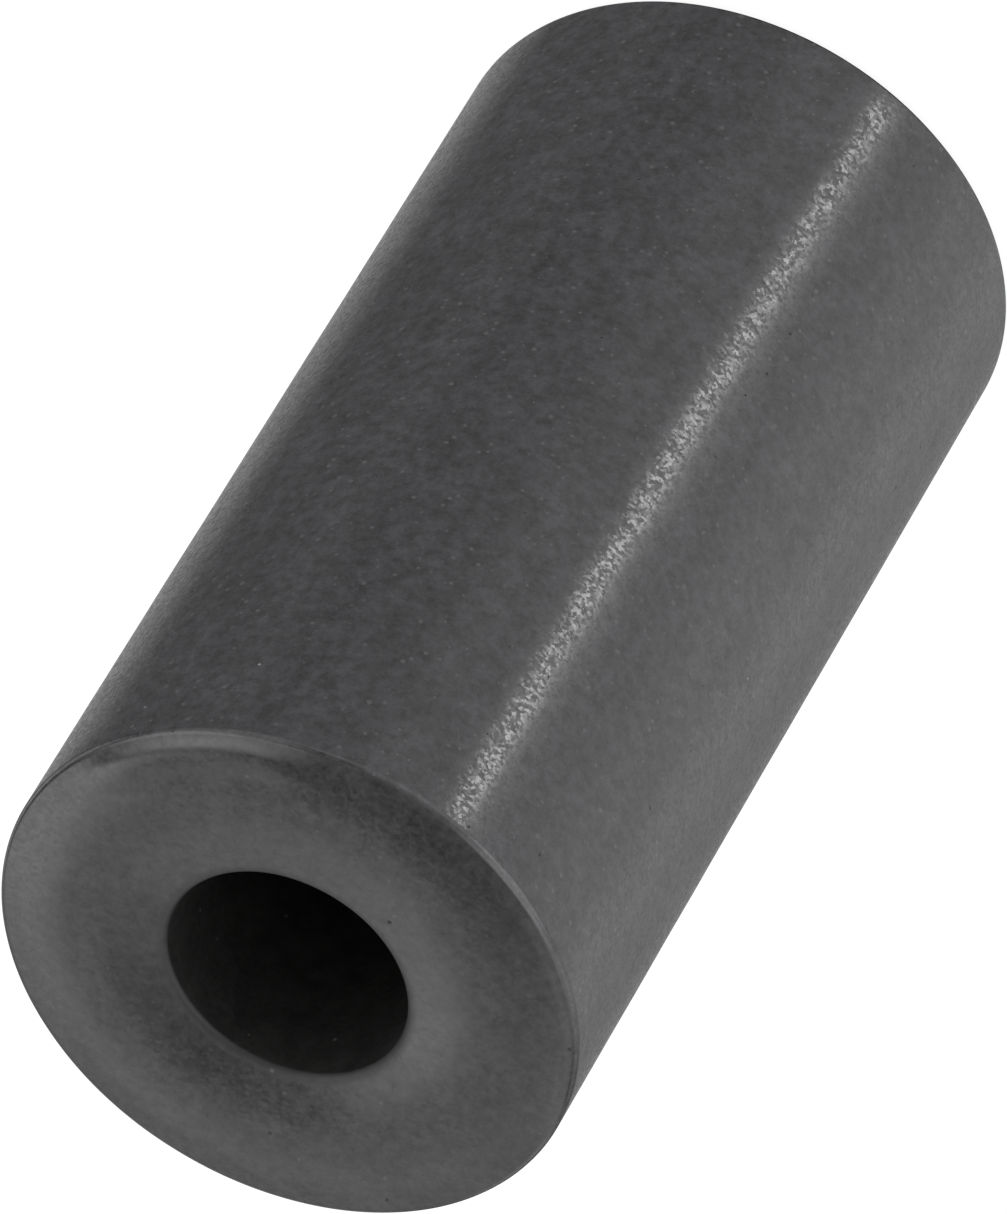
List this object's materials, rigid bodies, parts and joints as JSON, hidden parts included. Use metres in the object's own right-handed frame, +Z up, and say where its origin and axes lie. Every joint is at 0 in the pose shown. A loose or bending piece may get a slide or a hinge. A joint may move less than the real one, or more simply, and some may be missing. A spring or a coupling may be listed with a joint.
{
  "type": "ferrite sleeve core",
  "caption": "Thick-walled ferrite sleeve that slides over a cable to suppress high-frequency noise, with a through bore and softly bevelled ends.",
  "frame": {"origin": "centre of the bore at the land of the lower end, on which the core stands", "axes": "+Z up along the bore's axis; +X and +Y are any two directions across the round core"},
  "size_m": [0.0142, 0.0142, 0.0285],
  "materials": {
    "sintered_ferrite": "sintered, dark grey, satin and finely grained"
  },
  "bodies": {
    "root": {"ferrite_core": "sintered_ferrite"}
  },
  "joints": []
}
